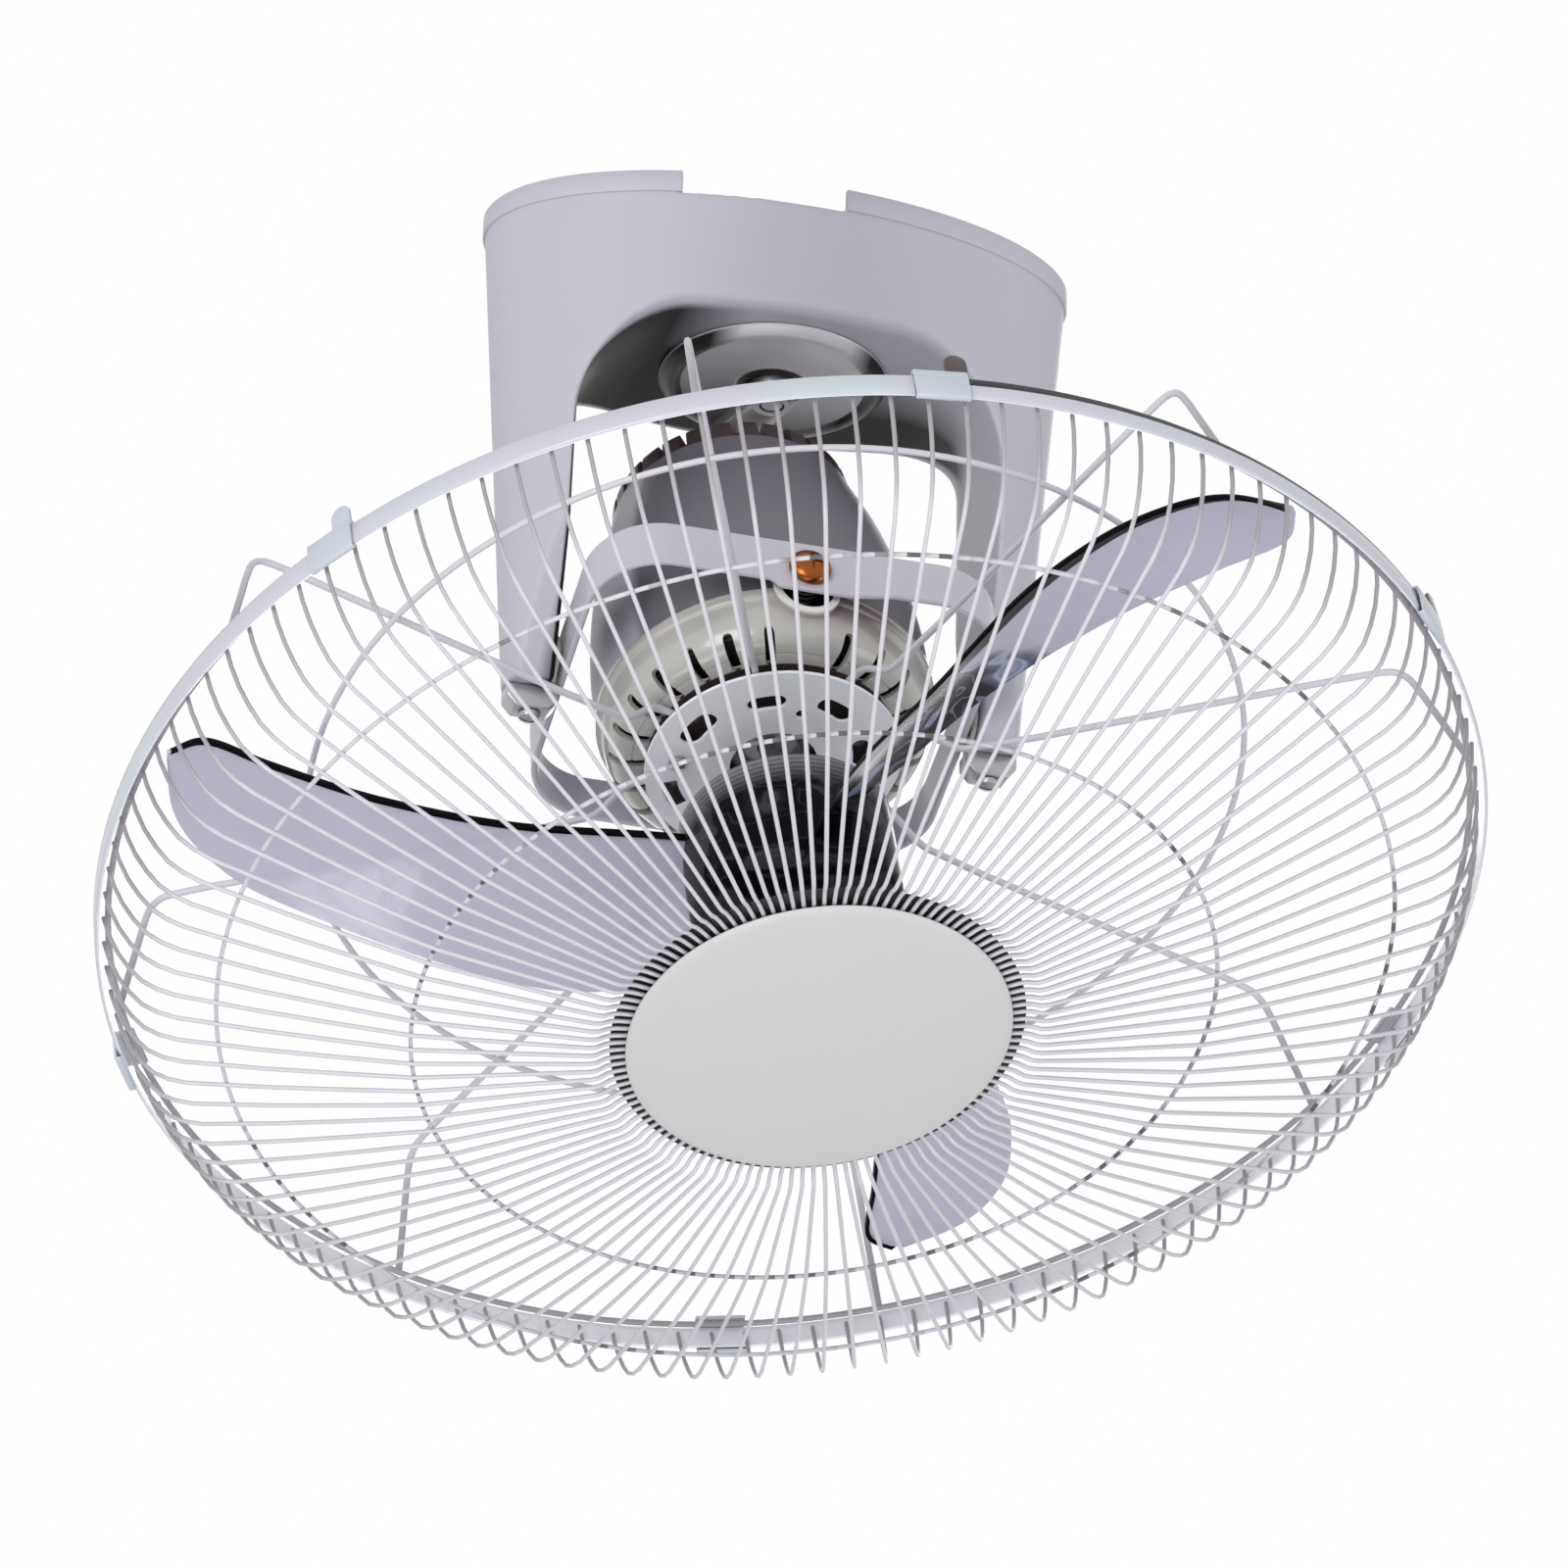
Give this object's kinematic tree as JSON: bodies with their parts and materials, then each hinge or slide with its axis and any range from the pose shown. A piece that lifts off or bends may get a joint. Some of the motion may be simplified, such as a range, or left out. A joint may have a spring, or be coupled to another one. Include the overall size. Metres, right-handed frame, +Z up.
{
  "type": "orbital ceiling fan",
  "caption": "Ceiling fan whose caged head hangs in a gimbal under an oval canopy and sweeps round a circle.",
  "frame": {"origin": "middle of the ceiling plate's upper face, where it lies against the ceiling", "axes": "+Z up through the ceiling, X along the canopy's long axis and both ring pivots, -Y towards the front"},
  "size_m": [0.4394, 0.4243, 0.3395],
  "materials": {
    "canopy_paint": "smooth satin",
    "mount_steel": "zinc plated",
    "ring_paint": "satin powder coat",
    "pin_brass": "turned",
    "motor_front_paint": "satin",
    "motor_rear_paint": "matte",
    "lamination": "laminated, oiled",
    "copper_wire": "enamelled winding",
    "plate_paint": "satin",
    "guard_wire": "gloss powder coat",
    "cap_plastic": "fine satin",
    "blade_plastic": "clear, polished",
    "black_plastic": "moulded",
    "nylon": "moulded"
  },
  "bodies": {
    "canopy": {"ceiling_plate": "mount_steel", "canopy_shell": "canopy_paint", "boss_cover": "canopy_paint", "canopy_screw_left": "mount_steel", "canopy_screw_right": "mount_steel", "orbit_gearmotor": "mount_steel", "run_capacitor": "black_plastic", "terminal_block": "nylon", "pivot_bush_left": "nylon", "pivot_bush_right": "nylon", "pivot_saddle_left": "mount_steel", "pivot_saddle_right": "mount_steel", "pivot_screw_left": "mount_steel", "pivot_screw_right": "mount_steel"},
    "crank": {"crank_arm": "mount_steel", "crank_shaft": "mount_steel", "crank_shaft_clip": "mount_steel"},
    "gimbal": {"gimbal_ring": "ring_paint", "side_pin_left": "mount_steel", "side_pin_right": "mount_steel", "tilt_pin_front": "pin_brass", "tilt_pin_rear": "pin_brass", "pin_spring_front": "mount_steel", "pin_spring_rear": "mount_steel"},
    "head": {"motor_front_cover": "motor_front_paint", "motor_rear_cover": "motor_rear_paint", "stator_core": "lamination", "winding_front": "copper_wire", "winding_rear": "copper_wire", "bearing_front": "mount_steel", "bearing_rear": "mount_steel", "drive_stud": "mount_steel", "guard_plate": "plate_paint", "plate_screw_1": "mount_steel", "plate_screw_2": "mount_steel", "plate_screw_3": "mount_steel", "rear_guard": "guard_wire", "hoop_band": "guard_wire", "hoop_clip_1": "guard_wire", "hoop_clip_2": "guard_wire", "hoop_clip_3": "guard_wire", "hoop_clip_4": "guard_wire", "hoop_clip_5": "guard_wire", "hoop_clip_6": "guard_wire", "front_guard": "guard_wire", "cross_ring_outer": "guard_wire", "cross_ring_inner": "guard_wire", "centre_cap": "cap_plastic"},
    "rotor": {"motor_shaft": "mount_steel", "rotor_core": "lamination", "blade_impeller": "blade_plastic", "blade_nut": "black_plastic"}
  },
  "joints": [
    {"name": "orbit_turn", "type": "hinge", "parent": "canopy", "child": "crank", "pos_m": [0, 0, -0.05], "axis": [0, 0, 1], "continuous": true},
    {"name": "ring_tilt", "type": "hinge", "parent": "canopy", "child": "gimbal", "pos_m": [0, 0, -0.1628], "axis": [1, 0, 0], "range_deg": [-0.5, 36.1]},
    {"name": "head_tilt", "type": "hinge", "parent": "gimbal", "child": "head", "pos_m": [0, -0.00092, -0.16566], "axis": [0, 0.9521, -0.3058], "range_deg": [-14, 22.6]},
    {"name": "fan_spin", "type": "hinge", "parent": "head", "child": "rotor", "pos_m": [0, 0, -0.1628], "axis": [0.0749, -0.3049, -0.9494], "continuous": true}
  ]
}
